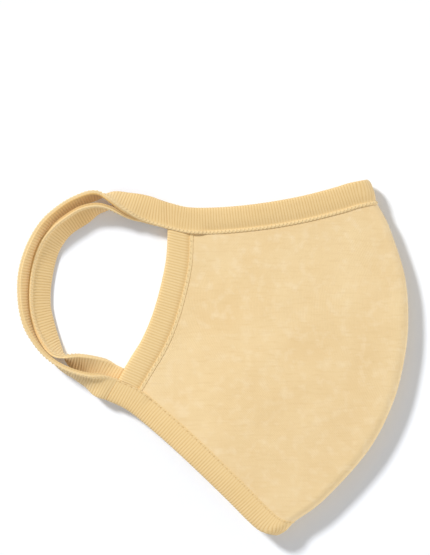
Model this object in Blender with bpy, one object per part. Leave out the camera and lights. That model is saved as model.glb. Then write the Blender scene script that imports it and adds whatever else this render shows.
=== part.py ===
# Cloth face mask with two ear loops, folded in half along its centre front and lying flat.
# Lengths below are in millimetres. X runs to the centre front, Y to the nose edge and Z up
# from the surface that the mask lies on. The wearer's right half is the upper one.

import math

import bmesh
import bpy
import numpy as np

# Outline of one folded half
half_length = 135.5      # plan length, from the chin end of the ear side to the front fold
half_height = 160.9      # plan height, from the nose edge to the chin edge
centre_x = 0.3535        # share of half_length that lies at X = 0
centre_y = 0.4983        # share of half_height that lies at Y = 0
lower_nose_x = 0.9       # how far the ear side of the lower half sits from the upper one's
lower_chin_x = 2.25
lower_chin_y = 4.7

# Cloth
panel_wall = 1.3         # two layers of jersey
rib_wall = 1.0           # one layer of rib knit
seat_gap = 0.3           # between cloth pieces that lie on each other
panel_inset = 2.9        # edge of the panel to the fold of its binding
binding_width = 12.2     # fold of the binding to its inner edge
chin_width = 11.0
ridge_width = 1.9        # raised seam along the inner edge of a binding
ridge_rise = 0.45

# How the two halves lie
fold_radius = 4.9        # middle of the cloth, where it bends round the front
ear_half_gap = 2.2       # middle of the cloth to the plane between the halves, at the ear side
gap_from = 0.42          # share of the way to the ear where the halves start to close
crown = 1.7              # how far the upper half bulges
sag = 0.9                # how far the lower panel sinks between its bindings

# Ear loops
loop_wall = 0.85         # half the thickness of the folded strip
loop_end_wall = 1.8      # the same, where it meets the bindings
near_reach = 52.9        # how far the upper loop stands out from the line between its ends
loop_nesting = 4.3       # how much less the lower loop stands out
loop_ease = 14.0         # length over which a loop thins from its ends
floor_clearance = 0.2
end_gap = 0.6            # side binding to the nose and chin bindings

# Number of steps in the meshes
turn_steps = 5
length_steps = 17
cross_steps = 11
side_steps = 9
loop_steps = 50

# Edges of a half, ear side first or nose side first.
# Columns: share of half_length from the ear side, share of half_height from the nose side
nose_edge = [
    (0.201, 0.063), (0.274, 0.077), (0.380, 0.077), (0.507, 0.067),
    (0.633, 0.049), (0.739, 0.027), (0.806, 0.010), (0.861, 0.001),
]
front_edge = [
    (0.861, 0.001), (0.888, 0.056), (0.914, 0.094), (0.940, 0.140), (0.987, 0.264),
    (1.000, 0.376), (0.990, 0.488), (0.950, 0.622), (0.867, 0.757), (0.724, 0.891),
    (0.632, 0.949), (0.597, 0.969), (0.555, 0.990),
]
chin_edge = [
    (0.000, 0.617), (0.075, 0.648), (0.181, 0.720), (0.287, 0.801),
    (0.394, 0.888), (0.500, 0.975), (0.555, 0.990),
]
ear_edge = [
    (0.201, 0.063), (0.204, 0.155), (0.196, 0.239), (0.163, 0.354),
    (0.121, 0.443), (0.065, 0.524), (0.000, 0.617),
]

# Path of each ear loop, from its nose end to its chin end.
# Columns: share of the reach outwards, share of the way down, roll in degrees.
# Roll 0 lies flat with the ridge inwards, 90 stands on its fold with the ridge up.
near_loop = [
    (0.171, -0.002, 8), (0.346, -0.004, 40), (0.489, -0.006, 62), (0.628, 0.003, 80),
    (0.754, 0.064, 97), (0.864, 0.150, 105), (0.957, 0.259, 110), (1.000, 0.398, 114),
    (0.993, 0.539, 115), (0.936, 0.676, 112), (0.857, 0.790, 106), (0.748, 0.872, 99),
    (0.612, 0.934, 94), (0.473, 0.967, 79), (0.327, 0.984, 70), (0.186, 0.994, 50),
    (0.080, 0.999, 25),
]
far_loop = [
    (0.204, 0.005, 14), (0.298, 0.013, 21), (0.388, 0.023, 39), (0.486, 0.041, 68),
    (0.575, 0.067, 97), (0.667, 0.095, 113), (0.763, 0.152, 131), (0.863, 0.226, 132),
    (0.926, 0.293, 136), (0.972, 0.385, 143), (0.976, 0.491, 148), (0.946, 0.617, 147),
    (0.891, 0.729, 145), (0.820, 0.809, 144), (0.728, 0.884, 135), (0.635, 0.940, 120),
    (0.554, 0.965, 97), (0.437, 0.981, 56), (0.299, 0.975, 42), (0.170, 0.979, 23),
    (0.077, 0.993, 5),
]

# Colours: name, base colour, roughness
jersey = ("jersey", (0.86, 0.73, 0.42), 0.9)
rib_knit = ("rib_knit", (0.83, 0.66, 0.33), 0.9)

far_reach = near_reach - loop_nesting
groove = ridge_width * 0.26      # step between the ridge and the ribs

panel_half = panel_wall / 2
binding_inner = panel_half + seat_gap
binding_half = binding_inner + rib_wall
turn_share = 0.12        # share of m that the bend round the front fold takes
quarter_turn = fold_radius * math.pi / 2


def clear_scene():
    for thing in list(bpy.data.objects):
        bpy.data.objects.remove(thing)


def smooth(x):
    """Eases from 0 to 1."""
    x = np.clip(x, 0.0, 1.0)
    return x * x * (3 - 2 * x)


def even_curve(points, count=400):
    """Smooth curve through the points, sampled at even steps of its length."""
    points = np.array(points, float)
    before = 2 * points[0] - points[1]
    after = 2 * points[-1] - points[-2]
    around = np.concatenate([[before], points, [after]])
    parts = []
    for i in range(1, len(around) - 2):
        a, b, c, d = around[i - 1:i + 3]
        t = np.linspace(0, 1, 24, endpoint=False)[:, None]
        parts.append(
            b + 0.5 * t * (c - a)
            + t**2 * (a - 2.5 * b + 2 * c - 0.5 * d)
            + t**3 * (1.5 * (b - c) + 0.5 * (d - a))
        )
    dense = np.concatenate(parts + [points[-1:]])
    run = np.concatenate([[0], np.cumsum(np.linalg.norm(np.diff(dense[:, :2], axis=0), axis=1))])
    steps = np.linspace(0, run[-1], count)
    return np.stack([np.interp(steps, run, column) for column in dense.T], axis=1)


def plan(edge):
    """Curve in plan, in millimetres, from an edge table."""
    edge = np.array(edge)
    x = (edge[:, 0] - centre_x) * half_length
    y = (centre_y - edge[:, 1]) * half_height
    return even_curve(np.stack([x, y], axis=1))


nose_curve = plan(nose_edge)[::-1]
chin_curve = plan(chin_edge)[::-1]
front_curve = plan(front_edge)
ear_curve = plan(ear_edge)


def along(curve, share):
    """Point at this share of the curve's length."""
    at = np.linspace(0, 1, len(curve))
    return np.stack([np.interp(share, at, column) for column in curve.T], axis=-1)


def plan_point(upper, p, q):
    """Point in plan: p runs from the front fold to the ear side, q from nose to chin."""
    corner_a, corner_b = ear_curve[0], front_curve[0]
    corner_c, corner_d = front_curve[-1], ear_curve[-1]
    pp, qq = p[..., None], q[..., None]
    point = (1 - qq) * along(nose_curve, p) + qq * along(chin_curve, p)
    point = point + (1 - pp) * along(front_curve, q) + pp * along(ear_curve, q)
    point = point - (1 - pp) * ((1 - qq) * corner_b + qq * corner_c)
    point = point - pp * ((1 - qq) * corner_a + qq * corner_d)
    if not upper:
        shift = (1 - qq) * np.array([lower_nose_x, 0.0])
        shift = shift + qq * np.array([lower_chin_x, lower_chin_y])
        point = point + pp * shift
    return point


def middle(upper, m, q):
    """Middle of the cloth: m runs from the front fold (0) to the ear side (1), q from nose to chin."""
    m, q = np.broadcast_arrays(np.asarray(m, float), np.asarray(q, float))
    row = np.linalg.norm(along(front_curve, q) - along(ear_curve, q), axis=-1)
    angle = np.clip(m / turn_share, 0, 1) * math.pi / 2
    turned = fold_radius / row
    beyond = np.clip((m - turn_share) / (1 - turn_share), 0, None)
    p = np.where(m < turn_share, turned * (1 - np.cos(angle)), turned + beyond * (1 - turned))
    closing = smooth((p - gap_from) / (1 - gap_from))
    gap = fold_radius + (ear_half_gap - fold_radius) * closing
    lift = np.where(m < turn_share, fold_radius * np.sin(angle), gap)
    centre = np.where(m < turn_share, binding_half + fold_radius, binding_half + gap)
    inside = smooth((q - 0.15) / 0.15) * smooth((0.86 - q) / 0.15)
    inside = inside * smooth((0.86 - p) / 0.2) * smooth((p - 0.08) / 0.12)
    if upper:
        bulge = np.sin(np.pi * np.clip(q, 0, 1)) * smooth(p / 0.3) * smooth((1 - p) / 0.5)
        z = centre + lift + crown * bulge
    else:
        z = centre - lift - sag * inside
    return np.concatenate([plan_point(upper, p, q), z[..., None]], axis=-1)


def normal(upper, m, q):
    """Unit vector out of the mask at the same place."""
    m, q = np.broadcast_arrays(np.asarray(m, float), np.asarray(q, float))
    step = 1e-3
    m1 = np.clip(m + step, 0, 1)
    m0 = np.clip(m - step, 0, 1)
    q1 = np.clip(q + step, 0, 1)
    q0 = np.clip(q - step, 0, 1)
    along_m = middle(upper, m1, q) - middle(upper, m0, q)
    along_q = middle(upper, m, q1) - middle(upper, m, q0)
    out = np.cross(along_m, along_q)
    out = out / np.linalg.norm(out, axis=-1, keepdims=True)
    return out if upper else -out


def q_at(upper, m, width, from_chin=False):
    """q of the point that lies this far in from the nose or chin edge, for one m."""
    q = np.linspace(0, 1, 161)
    if from_chin:
        q = q[::-1]
    points = middle(upper, np.full_like(q, m), q)
    run = np.concatenate([[0], np.cumsum(np.linalg.norm(np.diff(points, axis=0), axis=1))])
    return np.interp(width, run, q)


def m_at(upper, q, width):
    """m of the point that lies this far in from the ear-side edge, for one q."""
    m = np.linspace(1, 0, 161)
    points = middle(upper, m, np.full_like(m, q))
    run = np.concatenate([[0], np.cumsum(np.linalg.norm(np.diff(points, axis=0), axis=1))])
    return np.interp(width, run, m)


def add_object(name, vertices, faces, colour):
    """Mesh object in metres, with its faces turned outwards."""
    mesh = bpy.data.meshes.new(name)
    mesh.from_pydata([tuple(v) for v in np.asarray(vertices) * 0.001], [], faces)
    work = bmesh.new()
    work.from_mesh(mesh)
    bmesh.ops.recalc_face_normals(work, faces=work.faces)
    if work.calc_volume(signed=True) < 0:
        bmesh.ops.reverse_faces(work, faces=work.faces)
    for face in work.faces:
        face.smooth = True
    work.to_mesh(mesh)
    work.free()
    thing = bpy.data.objects.new(name, mesh)
    bpy.context.scene.collection.objects.link(thing)
    kind, base, rough = colour
    material = bpy.data.materials.get(kind) or bpy.data.materials.new(kind)
    material.use_nodes = True
    shader = material.node_tree.nodes["Principled BSDF"]
    shader.inputs["Base Color"].default_value = (*base, 1)
    shader.inputs["Roughness"].default_value = rough
    shader.inputs["Metallic"].default_value = 0
    thing.data.materials.append(material)
    return thing


def add_sweep(name, sections, colour):
    """Closed tube through sections of equal point count, capped at both ends."""
    count = len(sections[0])
    vertices = np.concatenate(sections)
    faces = []
    for i in range(len(sections) - 1):
        for j in range(count):
            k = (j + 1) % count
            faces.append((i * count + j, i * count + k, (i + 1) * count + k, (i + 1) * count + j))
    faces.append(tuple(range(count)))
    last = (len(sections) - 1) * count
    faces.append(tuple(range(last + count - 1, last - 1, -1)))
    return add_object(name, vertices, faces, colour)


def add_panel(name, upper):
    """Cheek panel: a grid of the middle of the cloth, thickened both ways."""
    turn = np.linspace(0, 1, turn_steps)[:-1] * turn_share
    turn[0] = turn_share * (seat_gap / 2) / quarter_turn
    flat = turn_share + (1 - turn_share) * np.linspace(0, 1, length_steps)
    columns = np.concatenate([turn, flat])
    nose_side = np.array([panel_inset, binding_width * 0.6, binding_width])
    chin_side = np.array([chin_width, chin_width * 0.6, panel_inset])
    top, bottom = [], []
    for m in columns:
        q_first = q_at(upper, m, nose_side)
        q_last = q_at(upper, m, chin_side, from_chin=True)
        between = np.linspace(q_first[-1], q_last[0], cross_steps)[1:-1]
        q = np.concatenate([q_first, between, q_last])
        limit = np.array([m_at(upper, one, panel_inset) for one in q])
        here = m + (limit - 1) * smooth((m - 0.7) / 0.3)
        centre = middle(upper, here, q)
        out = normal(upper, here, q) * panel_half
        top.append(centre + out)
        bottom.append(centre - out)
    across, down = len(top), len(q)
    vertices = np.concatenate([np.concatenate(top), np.concatenate(bottom)])
    half = across * down
    faces = []
    for i in range(across - 1):
        for j in range(down - 1):
            a, b = i * down + j, i * down + j + 1
            c, d = (i + 1) * down + j + 1, (i + 1) * down + j
            faces.append((a, b, c, d))
            faces.append((half + d, half + c, half + b, half + a))
    rim = list(range(down))
    rim += [i * down + down - 1 for i in range(1, across)]
    rim += [(across - 1) * down + j for j in range(down - 2, -1, -1)]
    rim += [i * down for i in range(across - 2, 0, -1)]
    for a, b in zip(rim, rim[1:] + rim[:1]):
        faces.append((b, a, half + a, half + b))
    return add_object(name, vertices, faces, jersey)


def binding_section(width, rise):
    """Binding folded round an edge: distance in from its fold, height from the middle of the cloth."""
    outer = binding_half
    bend = rib_wall * 2.0
    inner_bend = rib_wall * 2.6
    return [
        (width, binding_inner), (width, outer + rise), (width - ridge_width, outer + rise),
        (width - ridge_width - groove, outer - 0.2 * rise), (width * 0.5, outer),
        (bend, outer), (bend * 0.28, outer * 0.7), (0.0, 0.0),
        (bend * 0.28, -outer * 0.7), (bend, -outer),
        (width * 0.5, -outer), (width, -outer), (width, -binding_inner),
        (width * 0.6, -binding_inner), (inner_bend, -binding_inner), (rib_wall * 1.6, 0.0),
        (inner_bend, binding_inner), (width * 0.6, binding_inner),
    ]


def add_edge_binding(name, from_chin, width, rise):
    """Binding of the nose or chin edge of both halves, bent round the front fold."""
    turn = np.linspace(0, 1, turn_steps)[:-1] * turn_share
    flat = turn_share + (1 - turn_share) * np.linspace(0, 1, length_steps)
    stations = np.concatenate([turn, flat])
    path = [(True, m) for m in stations[::-1]] + [(False, m) for m in stations[1:]]
    sections = []
    for upper, m in path:
        raised = min(m / turn_share, 1.0) if upper else 0.0
        profile = np.array(binding_section(width, rise * raised))
        q = q_at(upper, m, profile[:, 0], from_chin)
        centre = middle(upper, m, q)
        sections.append(centre + normal(upper, m, q) * profile[:, 1:])
    return add_sweep(name, sections, rib_knit)


def add_side_binding(name, upper):
    """Binding of the ear-side edge, between the nose and chin bindings."""
    rise = ridge_rise if upper else 0.0
    sections = []
    for share in np.linspace(0, 1, side_steps + 1):
        profile = np.array(binding_section(binding_width, rise))
        m = m_at(upper, 0.15 + 0.7 * share, profile[:, 0])
        q = np.empty_like(m)
        for i, one in enumerate(m):
            q_first = q_at(upper, one, binding_width + end_gap)
            q_last = q_at(upper, one, chin_width + end_gap, from_chin=True)
            q[i] = q_first + (q_last - q_first) * share
        centre = middle(upper, m, q)
        sections.append(centre + normal(upper, m, q) * profile[:, 1:])
    return add_sweep(name, sections, rib_knit)


def loop_section(width, half, rise):
    """Folded strip: distance in from its fold, height from its middle."""
    bend = rib_wall * 1.8
    return np.array([
        (0.0, 0.0), (bend * 0.25, half * 0.72), (bend, half),
        (width - ridge_width - groove, half - 0.25 * rise),
        (width - ridge_width, half + rise), (width, half + rise), (width, -half),
        (bend, -half), (bend * 0.25, -half * 0.72),
    ])


def add_loop(name, upper, table, reach):
    """Ear loop: a folded strip that leaves the nose binding flat, stands on its fold and comes back."""
    ends = []
    for from_chin, width in ((False, binding_width), (True, chin_width)):
        q = q_at(upper, 1.0, np.array([0.0, width / 2, width]), from_chin)
        fold, centre, inner = middle(upper, 1.0, q)
        leaving = centre - middle(upper, 0.98, q)[1]
        leaving /= np.linalg.norm(leaving)
        ends.append((centre + leaving * seat_gap, (inner - fold) / np.linalg.norm(inner - fold)))
    (start, start_across), (finish, finish_across) = ends
    down = finish[:2] - start[:2]
    outwards = np.array([down[1], -down[0]]) / np.linalg.norm(down)
    if outwards[0] > 0:
        outwards = -outwards
    points = [start[:2]] + [start[:2] + outwards * out * reach + down * share for out, share, _ in table]
    points.append(finish[:2])
    rolls = [0.0] + [float(row[2]) for row in table] + [0.0]
    widths = np.linspace(binding_width, chin_width, len(points))
    path = even_curve(np.column_stack([points, rolls, widths]), loop_steps)
    step = np.linalg.norm(np.diff(path[:, :2], axis=0), axis=1)
    run = np.concatenate([[0], np.cumsum(step)])
    tangent = np.gradient(path[:, :2], axis=0)
    tangent /= np.linalg.norm(tangent, axis=1, keepdims=True)
    sections = []
    for i, (x, y, roll, width) in enumerate(path):
        inwards = np.array([-tangent[i][1], tangent[i][0], 0.0])
        turn = math.radians(roll)
        near_start = i < loop_steps / 2
        from_end = run[i] if near_start else run[-1] - run[i]
        half = loop_end_wall + (loop_wall - loop_end_wall) * smooth(from_end / loop_ease)
        anchor = start[2] if near_start else finish[2]
        rest = width / 2 * math.sin(turn) + half * abs(math.cos(turn)) + floor_clearance
        flat_rest = half + floor_clearance
        z = rest + (anchor - flat_rest) * max(math.cos(turn), 0.0)
        across = inwards * math.cos(turn) + np.array([0, 0, math.sin(turn)])
        end_across = start_across if near_start else finish_across
        across += (end_across - across) * (1 - smooth(from_end / (loop_ease * 0.86)))
        across /= np.linalg.norm(across)
        out = np.cross(np.array([*tangent[i], 0.0]), across)
        out /= np.linalg.norm(out)
        if not upper:
            out = -out
        profile = loop_section(width, half, ridge_rise * 0.8 * smooth(from_end / (loop_ease * 0.57)))
        centre = np.array([x, y, z])
        sections.append(centre + (profile[:, :1] - width / 2) * across + profile[:, 1:] * out)
    return add_sweep(name, sections, rib_knit)


clear_scene()
add_panel("cheek_panel_right", True)
add_panel("cheek_panel_left", False)
add_edge_binding("nose_binding", False, binding_width, ridge_rise)
add_edge_binding("chin_binding", True, chin_width, 0.0)
add_side_binding("side_binding_right", True)
add_side_binding("side_binding_left", False)
add_loop("ear_loop_right", True, near_loop, near_reach)
add_loop("ear_loop_left", False, far_loop, far_reach)
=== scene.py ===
import math

import bpy
import numpy as np
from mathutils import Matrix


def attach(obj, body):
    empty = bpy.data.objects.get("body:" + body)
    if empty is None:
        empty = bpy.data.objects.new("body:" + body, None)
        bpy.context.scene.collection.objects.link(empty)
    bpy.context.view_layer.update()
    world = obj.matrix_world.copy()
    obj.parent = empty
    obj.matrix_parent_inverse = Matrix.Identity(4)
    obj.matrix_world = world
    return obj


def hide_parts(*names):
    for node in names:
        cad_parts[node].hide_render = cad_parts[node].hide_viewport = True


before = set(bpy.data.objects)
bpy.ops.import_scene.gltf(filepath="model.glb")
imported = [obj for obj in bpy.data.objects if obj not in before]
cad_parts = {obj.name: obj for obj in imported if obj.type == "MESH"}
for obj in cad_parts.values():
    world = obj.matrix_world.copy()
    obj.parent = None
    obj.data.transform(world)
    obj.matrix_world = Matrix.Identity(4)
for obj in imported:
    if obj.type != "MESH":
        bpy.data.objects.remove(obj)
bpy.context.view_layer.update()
scene = bpy.context.scene
print("frame loaded")

# Lengths below are in millimetres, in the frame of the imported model. mm turns them to metres.
mm = 0.001

# How the folded mask lies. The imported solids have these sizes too, all but dentDepth.
foldedHalf = {
    "length": 135.5,
    "height": 160.9,
    "centreX": 0.3535,
    "centreY": 0.4983,
    "lowerShiftNose": (0.9, 0.0),
    "lowerShiftChin": (2.25, 4.7),
    "foldRadius": 4.9,
    "earHalfGap": 2.2,
    "gapFrom": 0.42,
    "crown": 1.7,
    "sag": 0.9,
    "turnShare": 0.12,
    "dentDepth": 0.16,        # soft unevenness of the upper half
}
cloth = {
    "panelHalf": 0.65,
    "bindingInner": 0.95,
    "bindingHalf": 1.95,
    "bindingWidth": 12.2,
    "chinWidth": 11.0,
    "panelInset": 2.9,
    "ridgeRise": 0.38,
    "lipNose": 0.82,          # height of a binding's inner edge above the middle of the panel
    "lipSide": 0.74,
    "lipChin": 0.78,
    "strandSink": 0.06,       # how deep the strands sit in a ridge
    "strandPress": 0.3,       # further in where they lie on the floor, or where the ridge ends
}

# Edges of a half: share of the length from the ear side, share of the height from the nose side
noseEdge = [(0.201, 0.063), (0.274, 0.077), (0.380, 0.077), (0.507, 0.067),
            (0.633, 0.049), (0.739, 0.027), (0.806, 0.010), (0.861, 0.001)]
frontEdge = [(0.861, 0.001), (0.888, 0.056), (0.914, 0.094), (0.940, 0.140), (0.987, 0.264),
             (1.000, 0.376), (0.990, 0.488), (0.950, 0.622), (0.867, 0.757), (0.724, 0.891),
             (0.632, 0.949), (0.597, 0.969), (0.555, 0.990)]
chinEdge = [(0.000, 0.617), (0.075, 0.648), (0.181, 0.720), (0.287, 0.801),
            (0.394, 0.888), (0.500, 0.975), (0.555, 0.990)]
earEdge = [(0.201, 0.063), (0.204, 0.155), (0.196, 0.239), (0.163, 0.354),
           (0.121, 0.443), (0.065, 0.524), (0.000, 0.617)]


def ease(x):
    x = np.clip(x, 0.0, 1.0)
    return x * x * (3 - 2 * x)


def evenCurve(points, count=800):
    # smooth curve through the points, in even steps of its length in plan
    points = np.array(points, float)
    around = np.concatenate([[2 * points[0] - points[1]], points, [2 * points[-1] - points[-2]]])
    parts = []
    for i in range(1, len(around) - 2):
        a, b, c, d = around[i - 1:i + 3]
        t = np.linspace(0, 1, 40, endpoint=False)[:, None]
        parts.append(b + 0.5 * t * (c - a) + t**2 * (a - 2.5 * b + 2 * c - 0.5 * d)
                     + t**3 * (1.5 * (b - c) + 0.5 * (d - a)))
    dense = np.concatenate(parts + [points[-1:]])
    run = np.concatenate([[0], np.cumsum(np.linalg.norm(np.diff(dense[:, :2], axis=0), axis=1))])
    steps = np.linspace(0, run[-1], count)
    return np.stack([np.interp(steps, run, column) for column in dense.T], axis=1)


def planCurve(edge):
    edge = np.array(edge)
    x = (edge[:, 0] - foldedHalf["centreX"]) * foldedHalf["length"]
    y = (foldedHalf["centreY"] - edge[:, 1]) * foldedHalf["height"]
    return evenCurve(np.stack([x, y], axis=1))


noseCurve = planCurve(noseEdge)[::-1]
chinCurve = planCurve(chinEdge)[::-1]
frontCurve = planCurve(frontEdge)
earCurve = planCurve(earEdge)


def along(curve, share):
    at = np.linspace(0, 1, len(curve))
    return np.stack([np.interp(share, at, column) for column in curve.T], axis=-1)


def middle(t, q):
    # Middle of the cloth. t runs from the upper ear side (-1) round the front fold (0)
    # to the lower ear side (1), and q from the nose edge (0) to the chin edge (1).
    h = foldedHalf
    t, q = np.broadcast_arrays(np.asarray(t, float), np.asarray(q, float))
    m = np.abs(t)
    isUpper = t <= 0
    row = np.linalg.norm(along(frontCurve, q) - along(earCurve, q), axis=-1)
    angle = np.clip(m / h["turnShare"], 0, 1) * math.pi / 2
    turned = h["foldRadius"] / row
    beyond = np.clip((m - h["turnShare"]) / (1 - h["turnShare"]), 0, None)
    inTurn = m < h["turnShare"]
    p = np.where(inTurn, turned * (1 - np.cos(angle)), turned + beyond * (1 - turned))
    pp, qq = p[..., None], q[..., None]
    point = (1 - qq) * along(noseCurve, p) + qq * along(chinCurve, p)
    point = point + (1 - pp) * along(frontCurve, q) + pp * along(earCurve, q)
    point = point - (1 - pp) * ((1 - qq) * frontCurve[0] + qq * frontCurve[-1])
    point = point - pp * ((1 - qq) * earCurve[0] + qq * earCurve[-1])
    shift = (1 - qq) * np.array(h["lowerShiftNose"]) + qq * np.array(h["lowerShiftChin"])
    point = point + np.where(isUpper, 0.0, p)[..., None] * shift
    closing = ease((p - h["gapFrom"]) / (1 - h["gapFrom"]))
    gap = h["foldRadius"] + (h["earHalfGap"] - h["foldRadius"]) * closing
    lift = np.where(inTurn, h["foldRadius"] * np.sin(angle), gap)
    centre = cloth["bindingHalf"] + np.where(inTurn, h["foldRadius"], gap)
    bulge = h["crown"] * np.sin(np.pi * np.clip(q, 0, 1)) * ease(p / 0.3) * ease((1 - p) / 0.5)
    x, y = point[..., 0], point[..., 1]
    dents = np.sin(x * 0.11 + y * 0.05 + 0.7) * np.sin(y * 0.083 - x * 0.036 + 1.9)
    dents = dents + 0.6 * np.sin(x * 0.19 - y * 0.12 + 2.2) * np.sin(y * 0.17 + 0.4)
    dents = h["dentDepth"] * dents * ease(p / 0.12) * ease((1 - p) / 0.1)
    inside = ease((q - 0.15) / 0.15) * ease((0.86 - q) / 0.15)
    inside = inside * ease((0.86 - p) / 0.2) * ease((p - 0.08) / 0.12)
    z = np.where(isUpper, centre + lift + bulge + dents, centre - lift - h["sag"] * inside)
    return np.concatenate([point, z[..., None]], axis=-1)


def outward(t, q):
    # unit vector out of the mask at the same place
    step = 1e-3
    t, q = np.broadcast_arrays(np.asarray(t, float), np.asarray(q, float))
    alongT = middle(np.clip(t + step, -1, 1), q) - middle(np.clip(t - step, -1, 1), q)
    alongQ = middle(t, np.clip(q + step, 0, 1)) - middle(t, np.clip(q - step, 0, 1))
    out = -np.cross(alongT, alongQ)
    return out / np.linalg.norm(out, axis=-1, keepdims=True)


def lengthsFromEdge(t, fromChin):
    # for each t, the distance from the nose or chin edge at 241 values of q
    q = np.linspace(0, 1, 241)
    q = q[::-1] if fromChin else q
    points = middle(np.asarray(t)[:, None], q[None, :])
    steps = np.linalg.norm(np.diff(points, axis=1), axis=-1)
    return q, np.concatenate([np.zeros((len(points), 1)), np.cumsum(steps, axis=1)], axis=1)


def lengthsFromEar(q, side):
    # for each q, the distance from the ear-side edge at 241 values of t; side is -1 (upper) or 1
    t = side * np.linspace(1, 0, 241)
    points = middle(t[None, :], np.asarray(q)[:, None])
    steps = np.linalg.norm(np.diff(points, axis=1), axis=-1)
    return t, np.concatenate([np.zeros((len(points), 1)), np.cumsum(steps, axis=1)], axis=1)


def insetFromEdge(t, width, fromChin):
    # q of the points this far in from the nose or chin edge
    dense = np.linspace(-1, 1, 321)
    q, runs = lengthsFromEdge(dense, fromChin)
    return np.interp(t, dense, [np.interp(width, run, q) for run in runs])


print("folded surface defined")


# Node trees: a socket that takes part in Python sums, and a tree that adds nodes
class Socket:
    def __init__(self, tree, socket):
        self.tree = tree
        self.socket = socket

    def math(self, operation, *others):
        values = dict(enumerate((self,) + others))
        return self.tree.get("ShaderNodeMath", {"operation": operation}, values)

    def __add__(self, other):
        return self.math("ADD", other)

    def __sub__(self, other):
        return self.math("SUBTRACT", other)

    def __rsub__(self, other):
        return (self * -1.0).math("ADD", other)

    def __mul__(self, other):
        return self.math("MULTIPLY", other)

    def __truediv__(self, other):
        return self.math("DIVIDE", other)

    def __pow__(self, other):
        return self.math("POWER", other)

    __radd__ = __add__
    __rmul__ = __mul__

    def sin(self):
        return self.math("SINE")

    def abs(self):
        return self.math("ABSOLUTE")

    def fract(self):
        return self.math("FRACT")

    def clamp(self):
        return self.math("MAXIMUM", 0.0).math("MINIMUM", 1.0)


class Tree:
    def __init__(self, tree):
        self.tree = tree

    def add(self, kind, settings=None, values=None):
        node = self.tree.nodes.new(kind)
        for name, value in (settings or {}).items():
            setattr(node, name, value)
        for key, value in (values or {}).items():
            if isinstance(value, Socket):
                self.tree.links.new(value.socket, node.inputs[key])
            else:
                node.inputs[key].default_value = value
        return node

    def get(self, kind, settings=None, values=None, output=0):
        return Socket(self, self.add(kind, settings, values).outputs[output])

    def noise(self, scale, detail=2.0, vector=None):
        values = {"Scale": scale, "Detail": detail, "Roughness": 0.55}
        if vector is not None:
            values["Vector"] = vector
        return self.get("ShaderNodeTexNoise", None, values, "Fac")

    def vector(self, x, y, z=0.0):
        return self.get("ShaderNodeCombineXYZ", None, {0: x, 1: y, 2: z})


class Material(Tree):
    def __init__(self, name):
        self.material = bpy.data.materials.new(name)
        self.material.use_nodes = True
        super().__init__(self.material.node_tree)
        self.shader = self.tree.nodes["Principled BSDF"]

    def attribute(self, name):
        return self.get("ShaderNodeAttribute", {"attribute_name": name}, output="Fac")

    def mix(self, factor, first, second, blend="MIX"):
        # inputs 0, 6 and 7 and output 2 are the ones of a colour mix
        settings = {"data_type": "RGBA", "blend_type": blend}
        return self.get("ShaderNodeMix", settings, {0: factor, 6: first, 7: second}, 2)

    def finish(self, colour, height, roughness, strength, distance,
               sheen=0.25, tint=(1, 0.93, 0.8)):
        values = {"Strength": strength, "Distance": distance, "Height": height}
        bump = self.get("ShaderNodeBump", None, values)
        self.tree.links.new(bump.socket, self.shader.inputs["Normal"])
        self.tree.links.new(colour.socket, self.shader.inputs["Base Color"])
        self.shader.inputs["Roughness"].default_value = roughness
        self.shader.inputs["Sheen Weight"].default_value = sheen
        self.shader.inputs["Sheen Roughness"].default_value = 0.5
        self.shader.inputs["Sheen Tint"].default_value = (*tint, 1)
        self.shader.inputs["Specular IOR Level"].default_value = 0.2
        return self.material


# Jersey: fine wales with V-shaped stitches, a soft, slightly uneven dye, and painted shade in the
# furrows between the wales
jerseyLook = {
    "light": (0.790, 0.610, 0.348, 1),
    "deep": (0.738, 0.542, 0.286, 1),
    "pale": (0.830, 0.675, 0.445, 1),
    "shade": (0.680, 0.485, 0.240, 1),
    "waleWidth": 0.72,        # mm
    "courseHeight": 0.52,
    "cloudSize": 21.0,
    "streakLength": 7.0,
    "streakHeight": 1.1,
    "bump": 0.35,
}


def jerseyMaterial():
    v = jerseyLook
    mat = Material("jersey_knit")
    place = mat.get("ShaderNodeTexCoord", None, None, "Object")
    girth = mat.attribute("girth")
    fall = mat.attribute("fall")
    leg = ((girth / v["waleWidth"]).fract() - 0.5).abs()
    stitch = ((fall / v["courseHeight"] + leg * 1.1).fract() - 0.5).abs() * 2.0
    furrow = (1.0 - leg * 2.0).clamp() ** 0.6
    height = furrow * 0.7 + stitch * 0.3 + mat.noise(900.0, 2.0, place) * 0.5
    cloud = mat.noise(1000.0 / v["cloudSize"], 3.0, place)
    mottle = mat.noise(230.0, 2.0, place)
    streakPlace = mat.vector(girth / v["streakLength"], fall / v["streakHeight"])
    streak = mat.noise(1.0, 1.0, streakPlace)
    colour = mat.mix((cloud * 2.2 - 0.6).clamp(), v["light"], v["deep"])
    colour = mat.mix((mottle * 2.4 - 1.2).clamp() * 0.9, colour, v["pale"])
    colour = mat.mix((streak * 2.4 - 1.2).clamp() * 0.6, colour, v["shade"])
    # painted shade: the furrows between the wales are darkened towards the shade colour
    colour = mat.mix((1.0 - furrow) * 0.2, colour, v["shade"])
    return mat.finish(colour, height, 0.92, v["bump"], 0.00025)


# Rib knit: raised wales across the strip, with a painted highlight on their crests and painted
# shade between them, paler on the sewn ridge
ribLook = {
    "crest": (0.812, 0.622, 0.334, 1),
    "body": (0.750, 0.549, 0.268, 1),
    "valley": (0.58, 0.365, 0.134, 1),
    "ridge": (0.745, 0.570, 0.310, 1),
    "rich": (0.70, 0.56, 0.37, 1),
    "courseHeight": 0.75,     # mm
    "bump": 0.4,
}


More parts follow.
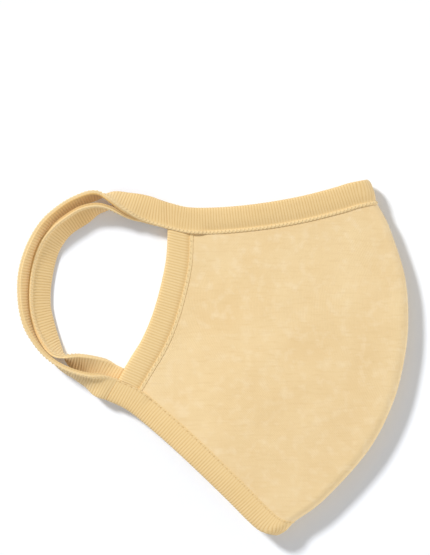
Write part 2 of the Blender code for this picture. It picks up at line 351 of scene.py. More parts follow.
def ribMaterial():
    v = ribLook
    mat = Material("rib_knit")
    place = mat.get("ShaderNodeTexCoord", None, None, "Object")
    crest = mat.attribute("crest")
    ribs = mat.attribute("ribZone")
    ridge = mat.attribute("ridgeZone")
    course = mat.attribute("acrossWay") / v["courseHeight"]
    loops = ((course + crest * 0.5).fract() - 0.5).abs() * 2.0
    cloud = mat.noise(75.0, 3.0, place)
    # painted highlight: the crests are lighter than the body, mixed with a random cloudy tone
    colour = mat.mix((crest * 1.1 - 0.2 + (cloud - 0.5) * 0.9).clamp(), v["body"], v["crest"])
    # painted shade: the valleys between the ribs are darkened towards the valley colour
    colour = mat.mix(((1.0 - crest) ** 1.8 * ribs * 0.75).clamp(), colour, v["valley"])
    # richness multiplies the colour towards a deeper orange: a base for each strip, with painted
    # shade, warmed as by light bounced between the cloth, added beside the side ridge and along the
    # ear loops
    richer = mat.mix(1.0, colour, v["rich"], "MULTIPLY")
    colour = mat.mix(mat.attribute("richness"), colour, richer)
    colour = mat.mix((ridge * (0.7 + loops * 0.3)).clamp(), colour, v["ridge"])
    height = loops * 0.35 * ribs + mat.noise(1100.0, 2.0, place) * 0.5
    return mat.finish(colour, height, 0.9, v["bump"], 0.0002)


threadLook = {
    "light": (0.765, 0.592, 0.325, 1),
    "deep": (0.700, 0.516, 0.258, 1),
    "holeShade": (0.46, 0.26, 0.085, 1),
}


def threadMaterial():
    v = threadLook
    mat = Material("sewing_thread")
    place = mat.get("ShaderNodeTexCoord", None, None, "Object")
    twist = mat.noise(1600.0, 1.0, place)
    colour = mat.mix(twist, v["light"], v["deep"])
    # painted shade: strand ends, and the whole of each needle-hole bead, are darkened towards the
    # hole shade colour
    colour = mat.mix(mat.attribute("endShade"), colour, v["holeShade"])
    return mat.finish(colour, twist, 0.7, 0.3, 0.0001, sheen=0.1)


jersey = jerseyMaterial()
ribKnit = ribMaterial()
thread = threadMaterial()
print("materials made")


def newObject(name, mesh):
    obj = bpy.data.objects.new(name, mesh)
    scene.collection.objects.link(obj)
    return obj


def storeOnPoints(mesh, key, values):
    values = np.asarray(values, np.float32)
    isVector = values.ndim > 1 and values.shape[-1] == 3
    layer = mesh.attributes.new(key, "FLOAT_VECTOR" if isVector else "FLOAT", "POINT")
    layer.data.foreach_set("vector" if isVector else "value", values.reshape(-1))


def tubeMesh(name, grid, attributes):
    # grid is (stations, points, 3); a closed tube with flat ends, its faces outwards
    stations, count = grid.shape[:2]
    index = np.arange(stations * count).reshape(stations, count)
    following = np.roll(index, -1, axis=1)
    sides = np.stack([index[:-1], following[:-1], following[1:], index[1:]], axis=-1).reshape(-1, 4)
    faces = [tuple(face) for face in sides.tolist()]
    faces += [tuple(index[0][::-1].tolist()), tuple(index[-1].tolist())]
    mesh = bpy.data.meshes.new(name)
    mesh.from_pydata((grid.reshape(-1, 3) * mm).tolist(), [], faces)
    for key, values in attributes.items():
        shape = (stations, count, 3) if np.ndim(values) == 3 else (stations, count)
        values = np.broadcast_to(values, shape)
        storeOnPoints(mesh, key, values.reshape(-1, 3) if len(shape) == 3 else values.reshape(-1))
    mesh.shade_smooth()
    for face in (-1, -2):
        mesh.polygons[face].use_smooth = False
    return mesh


def modifierTree(name, inputs):
    # a Geometry Nodes tree with these named inputs: {name: (socket type, default)}
    group = bpy.data.node_groups.new(name, "GeometryNodeTree")
    group.interface.new_socket("Geometry", in_out="INPUT", socket_type="NodeSocketGeometry")
    for key, (kind, value) in inputs.items():
        socket = group.interface.new_socket(key, in_out="INPUT", socket_type=kind)
        if value is not None:
            socket.default_value = value
    group.interface.new_socket("Geometry", in_out="OUTPUT", socket_type="NodeSocketGeometry")
    tree = Tree(group)
    entry = tree.add("NodeGroupInput")
    return tree, {item.name: Socket(tree, item) for item in entry.outputs if item.name}


def treeToMesh(obj, tree, values):
    # gives the object the tree's result as its plain mesh
    modifier = obj.modifiers.new(tree.tree.name, "NODES")
    modifier.node_group = tree.tree
    for item in tree.tree.interface.items_tree:
        if item.in_out == "INPUT" and item.name in values:
            modifier[item.identifier] = values[item.name]
    graph = bpy.context.evaluated_depsgraph_get()
    mesh = bpy.data.meshes.new_from_object(obj.evaluated_get(graph), depsgraph=graph)
    obj.modifiers.clear()
    mesh.name = obj.name
    obj.data = mesh
    return obj


# Rib relief: sinks the valleys between the ribs and scallops the sewn ridge
ribRelief = {
    "Rib pitch": 1.27,
    "Rib depth": 0.20,
    "Unevenness": 0.45,
    "Ridge pitch": 1.8,
    "Ridge depth": 0.10,
}


def ribTree():
    sizes = {key: ("NodeSocketFloat", value) for key, value in ribRelief.items()}
    tree, given = modifierTree("rib_relief", {**sizes, "Cloth": ("NodeSocketMaterial", None)})

    def named(name, kind="FLOAT"):
        settings = {"data_type": kind}
        return tree.get("GeometryNodeInputNamedAttribute", settings, {"Name": name}, "Attribute")

    way = named("alongWay")
    wander = tree.noise(1.0, 1.0, tree.vector(way * 0.31, named("acrossWay") * 0.11))
    uneven = tree.noise(1.0, 1.0, tree.vector(way * 0.17, named("acrossWay") * 0.22, 4.0))
    place = way + (wander - 0.5) * given["Unevenness"]
    crest = (place * math.pi / given["Rib pitch"]).sin().abs() ** 0.7
    scallop = (way * math.pi / given["Ridge pitch"]).sin().abs()
    drop = (crest - 1.0) * given["Rib depth"] * (0.4 + uneven * 1.2) * named("ribZone")
    drop = drop + (scallop - 1.0) * given["Ridge depth"] * named("ridgeZone")
    kept = tree.get("GeometryNodeStoreNamedAttribute", {"data_type": "FLOAT", "domain": "POINT"},
                    {"Geometry": given["Geometry"], "Name": "crest", "Value": crest})
    offset = tree.get("ShaderNodeVectorMath", {"operation": "SCALE"},
                      {0: named("outDir", "FLOAT_VECTOR"), "Scale": drop * mm})
    moved = tree.get("GeometryNodeSetPosition", None, {"Geometry": kept, "Offset": offset})
    real = tree.get("GeometryNodeRealizeInstances", None, {0: moved})
    dressed = tree.get("GeometryNodeSetMaterial", None,
                       {"Geometry": real, "Material": given["Cloth"]})
    tree.add("NodeGroupOutput", None, {"Geometry": dressed})
    return tree


# Stitch row: small rounded strands along a path, each turned a little across it
stitchRow = {
    "Pitch": 1.8,
    "Length": 2.0,
    "Width": 0.8,
    "Height": 0.5,
    "Turn": 0.6,
    "End shade": 0.0,
    "Shade from": 0.5,        # share of the half length from which the ends are darker
}
beadRadius = 0.5              # mm, so that a scale of 1 makes a strand 1 mm long


def stitchTree():
    sizes = {key: ("NodeSocketFloat", value) for key, value in stitchRow.items()}
    tree, given = modifierTree("stitch_row", {**sizes, "Thread": ("NodeSocketMaterial", None)})
    line = tree.get("GeometryNodeMeshToCurve", None, {"Mesh": given["Geometry"]})
    line = tree.get("GeometryNodeResampleCurve", {"mode": "LENGTH"},
                    {"Curve": line, "Length": given["Pitch"] * mm})
    tangent = tree.get("GeometryNodeInputTangent")
    out = tree.get("GeometryNodeInputNamedAttribute", {"data_type": "FLOAT_VECTOR"},
                   {"Name": "outDir"}, "Attribute")
    upright = tree.get("FunctionNodeAlignRotationToVector", {"axis": "Z"}, {"Vector": out})
    facing = tree.get("FunctionNodeAlignRotationToVector", {"axis": "X", "pivot_axis": "Z"},
                      {"Rotation": upright, "Vector": tangent})
    spin = tree.get("FunctionNodeAxisAngleToRotation", None,
                    {"Axis": (0, 0, 1), "Angle": given["Turn"]})
    turned = tree.get("FunctionNodeRotateRotation", {"rotation_space": "LOCAL"},
                      {"Rotation": facing, "Rotate By": spin})
    bead = tree.get("GeometryNodeMeshUVSphere", None,
                    {"Segments": 8, "Rings": 6, "Radius": beadRadius * mm}, "Mesh")
    place = tree.get("GeometryNodeInputPosition")
    fromMiddle = tree.get("ShaderNodeSeparateXYZ", None, {0: place}).abs() / (beadRadius * mm)
    shade = ((fromMiddle - given["Shade from"]) * 3.5).clamp() * given["End shade"]
    bead = tree.get("GeometryNodeStoreNamedAttribute", {"data_type": "FLOAT", "domain": "POINT"},
                    {"Geometry": bead, "Name": "endShade", "Value": shade})
    size = tree.vector(given["Length"], given["Width"], given["Height"])
    placed = tree.get("GeometryNodeInstanceOnPoints", None,
                      {"Points": line, "Instance": bead, "Rotation": turned, "Scale": size})
    real = tree.get("GeometryNodeRealizeInstances", None, {0: placed})
    smoothed = tree.get("GeometryNodeSetShadeSmooth", None, {0: real})
    dressed = tree.get("GeometryNodeSetMaterial", None,
                       {"Geometry": smoothed, "Material": given["Thread"]})
    tree.add("NodeGroupOutput", None, {"Geometry": dressed})
    return tree


ribModifier = ribTree()
stitchModifier = stitchTree()


def roundedProfile(rows, count):
    # Closed profile at each of count stations. A row is a corner: distance from the fold, height,
    # radius, steps on to the next corner, and its face (1 outer, -1 inner, 0 between the layers).
    corners = []
    for row in rows:
        corners.append(np.column_stack([np.broadcast_to(value, count) for value in row[:2]]))
    ends = []
    for i, here in enumerate(corners):
        before = corners[i - 1] - here
        after = corners[(i + 1) % len(rows)] - here
        lengths = [np.linalg.norm(side, axis=1, keepdims=True) for side in (before, after)]
        reach = np.minimum(rows[i][2], 0.45 * np.minimum(*lengths))
        ends.append((here + before / lengths[0] * reach, here + after / lengths[1] * reach))
    points = []
    faces = []
    for i, here in enumerate(corners):
        first, last = ends[i]
        following = ends[(i + 1) % len(rows)][0]
        points += [first, 0.25 * first + 0.5 * here + 0.25 * last, last]
        points += [last + (following - last) * k / rows[i][3] for k in range(1, rows[i][3])]
        faces += [rows[i][4]] * (2 + rows[i][3])
    return np.stack(points, axis=1), np.array(faces)


def addStrip(name, grid, arrays, nodes):
    # a rib-knit strip: grid of sections, with its relief
    tangent = np.gradient(grid, axis=0)
    wrapped = np.roll(grid, -1, axis=1) - np.roll(grid, 1, axis=1)
    out = np.cross(wrapped, tangent)
    out /= np.maximum(np.linalg.norm(out, axis=-1, keepdims=True), 1e-9)
    if ((grid - grid.mean(axis=1, keepdims=True)) * out).sum() < 0:
        out = -out
    arrays = {key: np.broadcast_to(value, grid.shape[:2]) for key, value in arrays.items()}
    arrays["outDir"] = out
    middleRow = len(grid) // 2
    corner = grid[middleRow, 0]
    normal = np.cross(grid[middleRow, 1] - corner, grid[middleRow + 1, 0] - corner)
    if normal @ out[middleRow, 0] < 0:
        grid = grid[:, ::-1]
        arrays = {key: value[:, ::-1] for key, value in arrays.items()}
    obj = newObject(name, tubeMesh(name, grid, arrays))
    treeToMesh(obj, ribModifier, {**ribRelief, "Cloth": ribKnit})
    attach(obj, "root")
    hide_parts(*nodes)
    return obj


def addStitches(name, path, out, changes):
    # one row of stitches along a path of points in millimetres
    mesh = bpy.data.meshes.new(name)
    mesh.from_pydata((path * mm).tolist(), [(i, i + 1) for i in range(len(path) - 1)], [])
    storeOnPoints(mesh, "outDir", out)
    obj = newObject(name, mesh)
    treeToMesh(obj, stitchModifier, {**stitchRow, **changes, "Thread": thread})
    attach(obj, "root")
    return obj


def bindingProfile(width, lip, rise, ridge, count):
    # binding folded round an edge, thinner at the inner edge of its outer layer
    o = cloth["bindingHalf"]
    i = cloth["bindingInner"]
    rows = [
        (width, cloth["panelHalf"] + 0.01, 0.02, 1, 0),
        (width, lip + rise, 0.6, 1, 1),
        (width - ridge, lip + rise, 0.5, 1, 1),
        (width - ridge - 0.35, lip - np.minimum(rise * 0.2, 0.06), 0.25, 1, 1),
        (width - 3.6, lip + (o - lip) * 0.62, 1.0, 2, 1),
        (width * 0.5, o, 1.6, 4, 1),
        (2.1, o, 1.6, 1, 1),
        (0.0, o * 0.62, 1.1, 3, 1),
        (0.0, -o * 0.62, 1.1, 1, -1),
        (2.1, -o, 1.6, 3, -1),
        (width - 1.2, -o, 0.3, 1, -1),
        (width, -o + 0.2, 0.3, 1, -1),
        (width, -i, 0.2, 1, 0),
        (2.6, -i, 0.5, 1, 0),
        (1.6, 0.0, 0.4, 1, 0),
        (2.6, i, 0.5, 1, 0),
        (width * 0.5, i, 0.5, 1, 0),
    ]
    return roundedProfile(rows, count)


def ribAmount(fromInner, faces, fade):
    # ribs end at the seam on the outer layer, where the panel is sewn in
    outer = np.interp(fromInner, *zip(*fade))
    inner = ease((fromInner - 0.4) / 0.8)
    return np.where(faces > 0, outer, np.where(faces < 0, inner, 0.0))


def ridgeAmount(fromInner, faces, rise, ridge):
    return ease((ridge + 0.4 - fromInner) / 0.4) * (faces > 0) * np.minimum(rise / 0.2, 1.0)


# Nose and chin bindings: one strip each, round the front fold. A fade is a distance from the inner
# edge and a share of the ribs' depth.
edgeBindings = {
    "nose": {
        "width": cloth["bindingWidth"],
        "rise": cloth["ridgeRise"],
        "ridge": 1.35,
        "lip": cloth["lipNose"],
        "lipAtSide": cloth["bindingHalf"],
        "richness": 0.28,
        "frontRibs": 0.45,    # depth of the ribs round the front fold
        "fade": [(1.9, 0.0), (2.9, 1.0)],
    },
    "chin": {
        "width": cloth["chinWidth"],
        "rise": 0.0,
        "ridge": 1.2,
        "lip": cloth["lipChin"],
        "lipAtSide": cloth["bindingHalf"],
        "richness": 0.22,
        "frontRibs": 1.9,
        "fade": [(0.3, 0.0), (1.0, 0.3), (6.5, 1.0)],
    },
}
samplesPerRib = 7             # sections of a strip for each rib


def addEdgeBinding(name, values, fromChin, node):
    width = values["width"]
    coarse = np.linspace(-1, 1, 481)
    q, runs = lengthsFromEdge(coarse, fromChin)
    centre = middle(coarse, np.array([np.interp(width / 2, run, q) for run in runs]))
    run = np.concatenate([[0], np.cumsum(np.linalg.norm(np.diff(centre, axis=0), axis=1))])
    ribs = round(run[-1] / ribRelief["Rib pitch"])
    way = np.linspace(0, run[-1], ribs * samplesPerRib + 1)
    stations = np.interp(way, run, coarse)
    q, runs = lengthsFromEdge(stations, fromChin)
    fromEnd = np.minimum(way, way[-1] - way)
    # the side binding is sewn in under the first stretch, which is thicker
    lip = values["lipAtSide"] + (values["lip"] - values["lipAtSide"]) * ease((fromEnd - 13.5) / 4.0)
    rise = values["rise"] * ease(0.5 - stations / foldedHalf["turnShare"] * 0.5)
    profile, faces = bindingProfile(width, lip, rise, values["ridge"], len(stations))
    across = profile[..., 0]
    at = np.stack([np.interp(across[i], runs[i], q) for i in range(len(stations))])
    t = np.broadcast_to(stations[:, None], at.shape)
    grid = middle(t, at) + outward(t, at) * profile[..., 1:]
    # the ribs stand square to the edge, although the sections follow the shape of the half
    edgePoints = middle(stations, np.full(len(stations), 1.0 if fromChin else 0.0))
    tangent = np.gradient(edgePoints, axis=0)
    tangent /= np.linalg.norm(tangent, axis=1, keepdims=True)
    lean = ((middle(t, at) - edgePoints[:, None, :]) * tangent[:, None, :]).sum(axis=-1)
    lean = (lean - lean.mean(axis=1, keepdims=True)) * 0.85 * ease(fromEnd / 9.0)[:, None]
    front = values["frontRibs"] + (1 - values["frontRibs"]) * ease(np.abs(stations) / 0.16)
    arrays = {
        "alongWay": way[:, None] + lean,
        "acrossWay": across,
        "ribZone": ribAmount(width - across, faces, values["fade"]) * front[:, None],
        "ridgeZone": ridgeAmount(width - across, faces, rise[:, None], values["ridge"]),
        "richness": values["richness"],
    }
    addStrip(name, grid, arrays, [node])
    return {"stations": stations, "q": q, "runs": runs, "lip": lip, "rise": rise, "width": width}


def edgeLine(strip, fromInner, above):
    # line along a binding, this far in from its inner edge and above its lip
    stations = strip["stations"]
    fromFold = strip["width"] - fromInner
    at = np.array([np.interp(fromFold, run, strip["q"]) for run in strip["runs"]])
    out = outward(stations, at)
    # the lower half lies on the floor, so its stitches are pressed in
    pressed = cloth["strandPress"] * ease(0.5 + stations / foldedHalf["turnShare"] * 0.5)
    return middle(stations, at) + out * (strip["lip"] + above - pressed)[:, None], out


noseStrip = addEdgeBinding("nose_binding_rib", edgeBindings["nose"], False, "nose_binding")
chinStrip = addEdgeBinding("chin_binding_rib", edgeBindings["chin"], True, "chin_binding")
print("nose and chin bindings made")

# The ridge is closed by slanted overlock strands, the chin by a plain row of long stitches
ridgeStitches = {
    "Pitch": 1.75, "Length": 1.6, "Width": 0.8, "Height": 0.66,
    "Turn": 0.85, "End shade": 0.6,
}
sideStitches = {
    "Pitch": 2.6, "Length": 2.1, "Width": 0.9, "Height": 0.7,
    "Turn": 0.55, "End shade": 0.7,
}
chinStitches = {
    "Pitch": 2.7, "Length": 2.2, "Width": 0.5, "Height": 0.34,
    "Turn": 0.0, "End shade": 0.6,
}
# painted shade: short, flat, dark beads stand for the shade in the needle holes between the chin
# stitches
chinHoleShade = {
    "Pitch": 2.7, "Length": 1.0, "Width": 0.65, "Height": 0.16,
    "Turn": 0.3, "End shade": 0.6, "Shade from": -1.0,
}
chinSeam = 0.75               # distance of the seam from the inner edge
above = noseStrip["rise"] - cloth["strandSink"]
line, out = edgeLine(noseStrip, edgeBindings["nose"]["ridge"] * 0.6, above)
addStitches("nose_stitches", line, out, ridgeStitches)
line, out = edgeLine(chinStrip, chinSeam, 0.0)
addStitches("chin_stitches", line, out, chinStitches)
run = np.concatenate([[0], np.cumsum(np.linalg.norm(np.diff(line, axis=0), axis=1))])
later = run >= chinStitches["Pitch"] / 2    # the needle's holes lie half a stitch further on
addStitches("chin_needle_hole_shade", line[later], out[later], chinHoleShade)


# Side bindings, between the nose and chin bindings
sideBinding = {
    "width": cloth["bindingWidth"],
    "rise": 0.28,
    "ridge": 1.25,
    "lip": cloth["lipSide"],
    "endGap": 0.03,
    "richness": 0.18,
    "seamShade": 0.34,        # added beside the ridge
    "fade": [(1.7, 0.0), (2.9, 0.75)],
    "ribs": 60,
    "strandSink": 0.16,
    "firstShare": 0.14,       # of the way down the ear side, where the widths are measured
    "shareLength": 0.72,
}


def addSideBinding(name, side, node):
    v = sideBinding
    width = v["width"]
    share = np.linspace(0, 1, v["ribs"] * samplesPerRib + 1)
    rise = v["rise"] if side < 0 else 0.0
    profile, faces = bindingProfile(width, v["lip"], rise, v["ridge"], len(share))
    across = profile[..., 0]
    tValues, earRuns = lengthsFromEar(v["firstShare"] + v["shareLength"] * share, side)
    t = np.stack([np.interp(across[i], earRuns[i], tValues) for i in range(len(share))])
    # each line of the strip ends at the inner edges of the nose and chin bindings
    first = insetFromEdge(t, cloth["bindingWidth"] + v["endGap"], False)
    last = insetFromEdge(t, cloth["chinWidth"] + v["endGap"], True)
    q = first + (last - first) * share[:, None]
    centre = middle(t, q)
    out = outward(t, q)
    grid = centre + out * profile[..., 1:]
    half = np.argmin(np.abs(across[0] - width / 2))
    steps = np.linalg.norm(np.diff(centre[:, half], axis=0), axis=1)
    run = np.concatenate([[0], np.cumsum(steps)])
    arrays = {
        "alongWay": run[:, None],
        "acrossWay": across,
        "ribZone": ribAmount(width - across, faces, v["fade"]),
        "ridgeZone": ridgeAmount(width - across, faces, rise, v["ridge"]),
        "richness": v["richness"] + v["seamShade"] * np.exp(-((width - across - 1.9) / 1.2) ** 2),
    }
    addStrip(name, grid, arrays, [node])
    ridgeAt = np.argmin(np.abs(across[0] - (width - v["ridge"])) + 10 * (faces <= 0))
    line = centre[:, ridgeAt] + out[:, ridgeAt] * (v["lip"] + rise - v["strandSink"])
    return line, out[:, ridgeAt]


line, out = addSideBinding("side_binding_right_rib", -1, "side_binding_right")
addStitches("side_stitches_right", line, out, sideStitches)
addSideBinding("side_binding_left_rib", 1, "side_binding_left")
print("side bindings made")


# Ear loops. A shade tone is a share of the loop's length and a richness: a steady base, raised as
# painted shade where a loop lies in the other's shade. A point of the path is a share of the reach
# outwards, a share of the way down and the roll in degrees. The right loop rolls over sooner near
# the nose than its solid does.
earLoops = {
    "right": {
        "side": -1,
        "reach": 52.9,
        "outerShadeTone": [(0.0, 0.32), (0.15, 0.25), (0.5, 0.25), (0.9, 0.25), (1.0, 0.14)],
        "innerShadeTone": [(0.0, 0.5), (0.20, 1.0), (0.33, 0.8), (0.45, 0.2),
                      (0.7, 0.2), (0.8, 0.4), (1.0, 0.4)],
        "path": [(0.171, -0.002, 8), (0.346, -0.004, 40), (0.489, -0.008, 66), (0.628, 0.016, 104),
                 (0.754, 0.074, 110), (0.864, 0.154, 111), (0.957, 0.260, 112), (1.000, 0.398, 114),
                 (0.993, 0.539, 115), (0.934, 0.675, 112), (0.851, 0.785, 106), (0.741, 0.864, 99),
                 (0.607, 0.926, 92), (0.473, 0.967, 79), (0.327, 0.984, 70), (0.186, 0.994, 50),
                 (0.080, 0.999, 25)],
    },
    "left": {
        "side": 1,
        "reach": 48.6,
        "outerShadeTone": [(0.0, 0.7), (0.30, 0.62), (0.42, 0.25),
                      (0.7, 0.2), (0.8, 0.0), (1.0, 0.0)],
        "innerShadeTone": [(0.0, 0.7), (0.30, 0.6), (0.7, 0.3), (0.8, 0.0), (1.0, 0.0)],
        "path": [(0.204, 0.005, 14), (0.298, 0.013, 21), (0.388, 0.023, 39), (0.486, 0.041, 68),
                 (0.575, 0.067, 97), (0.667, 0.095, 113), (0.763, 0.152, 131), (0.863, 0.226, 132),
                 (0.926, 0.293, 136), (0.972, 0.385, 143), (0.976, 0.491, 148), (0.946, 0.617, 147),
                 (0.891, 0.729, 145), (0.820, 0.809, 144), (0.728, 0.884, 135), (0.635, 0.940, 120),
                 (0.554, 0.965, 97), (0.437, 0.981, 56), (0.299, 0.975, 42), (0.170, 0.979, 23),
                 (0.077, 0.993, 5)],
    },
    "wall": 0.85,             # half the thickness
    "easeLength": 14.0,       # over which a loop thins from its ends
    "floorClearance": 0.2,
    "ridge": 1.35,
    "fade": [(1.7, 0.0), (2.5, 1.0)],
}


def loopProfile(width, half, rise, count):
    # folded strip: its two edges lie together at the ridge, with a groove between them
    ridge = earLoops["ridge"]
    rows = [
        (width - 0.35, half * 0.1, 0.25, 1, 0),
        (width, half * 0.6, 0.25, 1, 1),
        (width, half + rise, 0.6, 1, 1),
        (width - ridge, half + rise, 0.5, 1, 1),
        (width - ridge - 0.35, half - np.minimum(rise * 0.2, 0.06), 0.25, 2, 1),
        (width * 0.5, half, 1.0, 4, 1),
        (1.8, half, 1.4, 1, 1),
        (0.0, half * 0.6, 0.7, 2, 1),
        (0.0, -half * 0.6, 0.7, 1, -1),
        (1.8, -half, 1.4, 4, -1),
        (width * 0.5, -half, 1.0, 4, -1),
        (width - 1.2, -half, 0.4, 1, -1),
        (width, -half, 0.5, 1, -1),
        (width, -half * 0.4, 0.25, 1, -1),
    ]
    return roundedProfile(rows, count)


def addEarLoop(name, values, node):
    v = earLoops
    side = values["side"]
    ends = []
    for fromChin, width in ((False, cloth["bindingWidth"]), (True, cloth["chinWidth"])):
        q, runs = lengthsFromEdge(np.array([float(side)]), fromChin)
        fold, centre, inner = middle(float(side), np.interp([0.0, width / 2, width], runs[0], q))
        leaving = centre - middle(side * 0.98, np.interp(width / 2, runs[0], q))
        leaving /= np.linalg.norm(leaving)
        ends.append((centre + leaving * 0.004, (inner - fold) / np.linalg.norm(inner - fold)))
    (start, startAcross), (finish, finishAcross) = ends
    down = finish[:2] - start[:2]
    outwards = np.array([down[1], -down[0]]) / np.linalg.norm(down)
    outwards = outwards if outwards[0] < 0 else -outwards
    points = [start[:2]]
    rolls = [0.0]
    for outShare, downShare, roll in values["path"]:
        points.append(start[:2] + outwards * outShare * values["reach"] + down * downShare)
        rolls.append(float(roll))
    points.append(finish[:2])
    rolls.append(0.0)
    widths = np.linspace(cloth["bindingWidth"], cloth["chinWidth"], len(points))
    table = np.column_stack([points, rolls, widths])
    rough = evenCurve(table, 600)
    total = np.linalg.norm(np.diff(rough[:, :2], axis=0), axis=1).sum()
    count = round(total / ribRelief["Rib pitch"])
    path = evenCurve(table, count * samplesPerRib + 1)
    run = np.linspace(0, count * ribRelief["Rib pitch"], len(path))
    tangent = np.zeros((len(path), 3))
    tangent[:, :2] = np.gradient(path[:, :2], axis=0)
    tangent /= np.linalg.norm(tangent, axis=1, keepdims=True)
    inwards = np.column_stack([-tangent[:, 1], tangent[:, 0], np.zeros(len(path))])
    turn = np.radians(path[:, 2])
    width = path[:, 3]
    nearStart = np.arange(len(path)) < len(path) / 2
    fromEnd = np.minimum(run, run[-1] - run)
    thinning = ease(fromEnd / v["easeLength"])
    half = cloth["bindingHalf"] + (v["wall"] - cloth["bindingHalf"]) * thinning
    anchor = np.where(nearStart, start[2], finish[2])
    lowest = width / 2 * np.sin(turn) + half * np.abs(np.cos(turn)) + v["floorClearance"]
    z = lowest + (anchor - half - v["floorClearance"]) * np.maximum(np.cos(turn), 0)
    across = inwards * np.cos(turn)[:, None] + np.array([0, 0, 1]) * np.sin(turn)[:, None]
    endAcross = np.where(nearStart[:, None], startAcross, finishAcross)
    across = across + (endAcross - across) * (1 - ease(fromEnd / 12.0))[:, None]
    across /= np.linalg.norm(across, axis=1, keepdims=True)
    out = np.cross(tangent, across)
    out /= np.linalg.norm(out, axis=1, keepdims=True)
    out = out if side < 0 else -out
    # the ridge runs on from the nose binding and dies out at the chin binding
    shown = np.where(nearStart, 1.0 if side < 0 else ease(fromEnd / 8.0), ease(fromEnd / 10.0))
    rise = cloth["ridgeRise"] * shown
    profile, faces = loopProfile(width, half, rise, len(path))
    centre = np.column_stack([path[:, :2], z])
    reach = profile[..., 0]
    fromInner = width[:, None] - reach
    ribs = ribAmount(fromInner, faces, v["fade"])
    chinRibs = ribAmount(fromInner, faces, edgeBindings["chin"]["fade"])
    nearChin = ease(1 - (run[-1] - run) / v["easeLength"])[:, None]
    outerShadeTone = np.interp(run / run[-1], *zip(*values["outerShadeTone"]))[:, None]
    innerShadeTone = np.interp(run / run[-1], *zip(*values["innerShadeTone"]))[:, None]
    grid = centre[:, None] + (reach - width[:, None] / 2)[..., None] * across[:, None]
    grid = grid + profile[..., 1:] * out[:, None]
    arrays = {
        "alongWay": run[:, None],
        "acrossWay": reach,
        "ribZone": ribs + (chinRibs - ribs) * nearChin,
        "ridgeZone": ridgeAmount(fromInner, faces, rise[:, None], v["ridge"]),
        # painted shade: the richness along each face follows its shade tones
        "richness": np.where(faces < 0, innerShadeTone, outerShadeTone),
    }
    addStrip(name, grid, arrays, [node])
    line = centre + (width / 2 - v["ridge"] * 0.6)[:, None] * across
    sunk = cloth["strandSink"] + cloth["strandPress"] * (1 - shown)
    line = line + (half + rise - sunk)[:, None] * out
    return line, out


line, out = addEarLoop("ear_loop_right_rib", earLoops["right"], "ear_loop_right")
addStitches("ear_loop_stitches_right", line, out, ridgeStitches)
line, out = addEarLoop("ear_loop_left_rib", earLoops["left"], "ear_loop_left")
addStitches("ear_loop_stitches_left", line, out, ridgeStitches)
print("ear loops made")


# Cheek panels: jersey, meeting at the seam along the front fold
panelValues = {
    "columns": 120,
    "rows": 120,
    "turnColumns": 24,        # of them round the front fold
    "seamDip": 0.35,
    "seamWidth": 0.5,
}


def addPanel(name, side, node):
    v = panelValues
    inset = cloth["panelInset"]
    turnShare = foldedHalf["turnShare"]
    turnSteps = np.linspace(0, 1, v["turnColumns"])[:-1] ** 1.3 * turnShare
    m = np.concatenate([turnSteps, np.linspace(turnShare, 1, v["columns"])])
    m[0] = 1e-4
    qNose, noseRun = lengthsFromEdge(side * m, False)
    qChin, chinRun = lengthsFromEdge(side * m, True)
    first = np.array([np.interp(inset, run, qNose) for run in noseRun])[:, None]
    last = np.array([np.interp(inset, run, qChin) for run in chinRun])[:, None]
    q = first + (last - first) * np.linspace(0, 1, v["rows"])
    tValues, earRuns = lengthsFromEar(q[-1], side)
    limit = np.abs([np.interp(inset, run, tValues) for run in earRuns])
    t = side * (m[:, None] + (limit - 1) * ease((m[:, None] - 0.7) / 0.3))
    centre = middle(t, q)
    out = outward(t, q)
    fromFold = foldedHalf["foldRadius"] * np.minimum(m / turnShare, 1) * math.pi / 2
    dip = v["seamDip"] * np.exp(-(fromFold / v["seamWidth"]) ** 2)[:, None, None]
    top = centre + out * (cloth["panelHalf"] - dip)
    bottom = centre - out * cloth["panelHalf"]
    steps = np.linalg.norm(np.diff(centre, axis=0), axis=-1)
    girth = np.concatenate([np.zeros((1, v["rows"])), np.cumsum(steps, axis=0)])
    # a closed sheet: outer face, inner face and the rim between them
    count = q.size
    index = np.arange(count).reshape(q.shape)
    here = index[:-1]
    after = index[1:]
    corners = [here[:, :-1], here[:, 1:], after[:, 1:], after[:, :-1]]
    outer = np.stack(corners, axis=-1).reshape(-1, 4)
    rim = np.concatenate([index[0, :], index[1:, -1], index[-1, -2::-1], index[-2:0:-1, 0]])
    nextRim = np.roll(rim, -1)
    rimFaces = np.stack([nextRim, rim, rim + count, nextRim + count], axis=-1)
    faces = np.concatenate([outer, outer[:, ::-1] + count, rimFaces])
    points = np.concatenate([top.reshape(-1, 3), bottom.reshape(-1, 3)])
    corner = points[outer[0]]
    if np.cross(corner[1] - corner[0], corner[2] - corner[0]) @ out[0, 0] < 0:
        faces = faces[:, ::-1]
    mesh = bpy.data.meshes.new(name)
    mesh.from_pydata((points * mm).tolist(), [], faces.tolist())
    storeOnPoints(mesh, "girth", np.tile(girth.reshape(-1), 2))
    storeOnPoints(mesh, "fall", np.tile(-centre[..., 1].reshape(-1), 2))
    mesh.shade_smooth()
    mesh.materials.append(jersey)
    obj = newObject(name, mesh)
    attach(obj, "root")
    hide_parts(node)
    return obj


panelRight = addPanel("cheek_panel_right_cloth", -1, "cheek_panel_right")
panelLeft = addPanel("cheek_panel_left_cloth", 1, "cheek_panel_left")
print("cheek panels made")


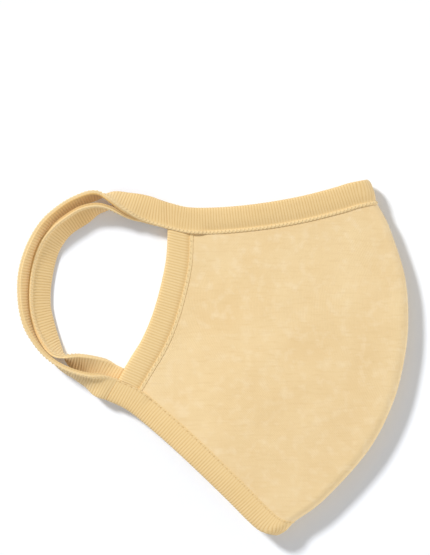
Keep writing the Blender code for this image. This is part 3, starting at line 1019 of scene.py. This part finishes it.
# Floor, light and camera
studio = {
    "floor": (0.87, 0.90, 0.95, 1),
    "floorGrain": (0.85, 0.88, 0.93, 1),
    "floorHalf": 3.0,         # m
    "skyStrength": 0.46,
    "cameraHeight": 1.6,      # m
    "sensorHeight": 24.0,
    "frameHeight": 249.75,    # mm that the picture's height shows at frameLevel
    "frameLevel": 7.0,        # mm above the floor
    "aim": (1.2, 36.1),
}
# Suns: strength, then in degrees the height above the floor, the direction in plan and the size,
# and whether it casts a shadow
suns = {
    "key_light": (2.95, 40.0, 138.0, 9.0, True),
    "fill_light": (1.8, 9.0, -25.0, 30.0, False),
}
floorMesh = bpy.data.meshes.new("floor")
half = studio["floorHalf"]
floorCorners = [(-half, -half, 0), (half, -half, 0), (half, half, 0), (-half, half, 0)]
floorMesh.from_pydata(floorCorners, [], [(0, 1, 2, 3)])
floor = newObject("floor", floorMesh)
floorLook = Material("floor_paper")
floorPlace = floorLook.get("ShaderNodeTexCoord", None, None, "Object")
grain = floorLook.noise(200.0, 2.0, floorPlace)
floorColour = floorLook.mix(grain * 0.06, studio["floor"], studio["floorGrain"])
paper = floorLook.finish(floorColour, grain, 0.9, 0.02, 0.0001, sheen=0.0, tint=(1, 1, 1))
floorMesh.materials.append(paper)

world = bpy.data.worlds.new("studio")
world.use_nodes = True
background = world.node_tree.nodes["Background"]
background.inputs["Color"].default_value = (1, 1, 1, 1)
background.inputs["Strength"].default_value = studio["skyStrength"]
scene.world = world

for name, (strength, elevation, direction, size, hasShadow) in suns.items():
    sunData = bpy.data.lights.new(name, "SUN")
    sunData.energy = strength
    sunData.angle = math.radians(size)
    sunData.use_shadow = hasShadow
    sun = bpy.data.objects.new(name, sunData)
    scene.collection.objects.link(sun)
    sun.rotation_euler = (math.radians(90 - elevation), 0, math.radians(direction + 90))

cameraData = bpy.data.cameras.new("camera")
cameraData.sensor_fit = "VERTICAL"
cameraData.sensor_height = studio["sensorHeight"]
distance = studio["cameraHeight"] / mm - studio["frameLevel"]
cameraData.lens = studio["sensorHeight"] * distance / studio["frameHeight"]
camera = bpy.data.objects.new("camera", cameraData)
camera.location = (studio["aim"][0] * mm, studio["aim"][1] * mm, studio["cameraHeight"])
scene.collection.objects.link(camera)
scene.camera = camera
scene.view_settings.view_transform = "Standard"
print("studio set")
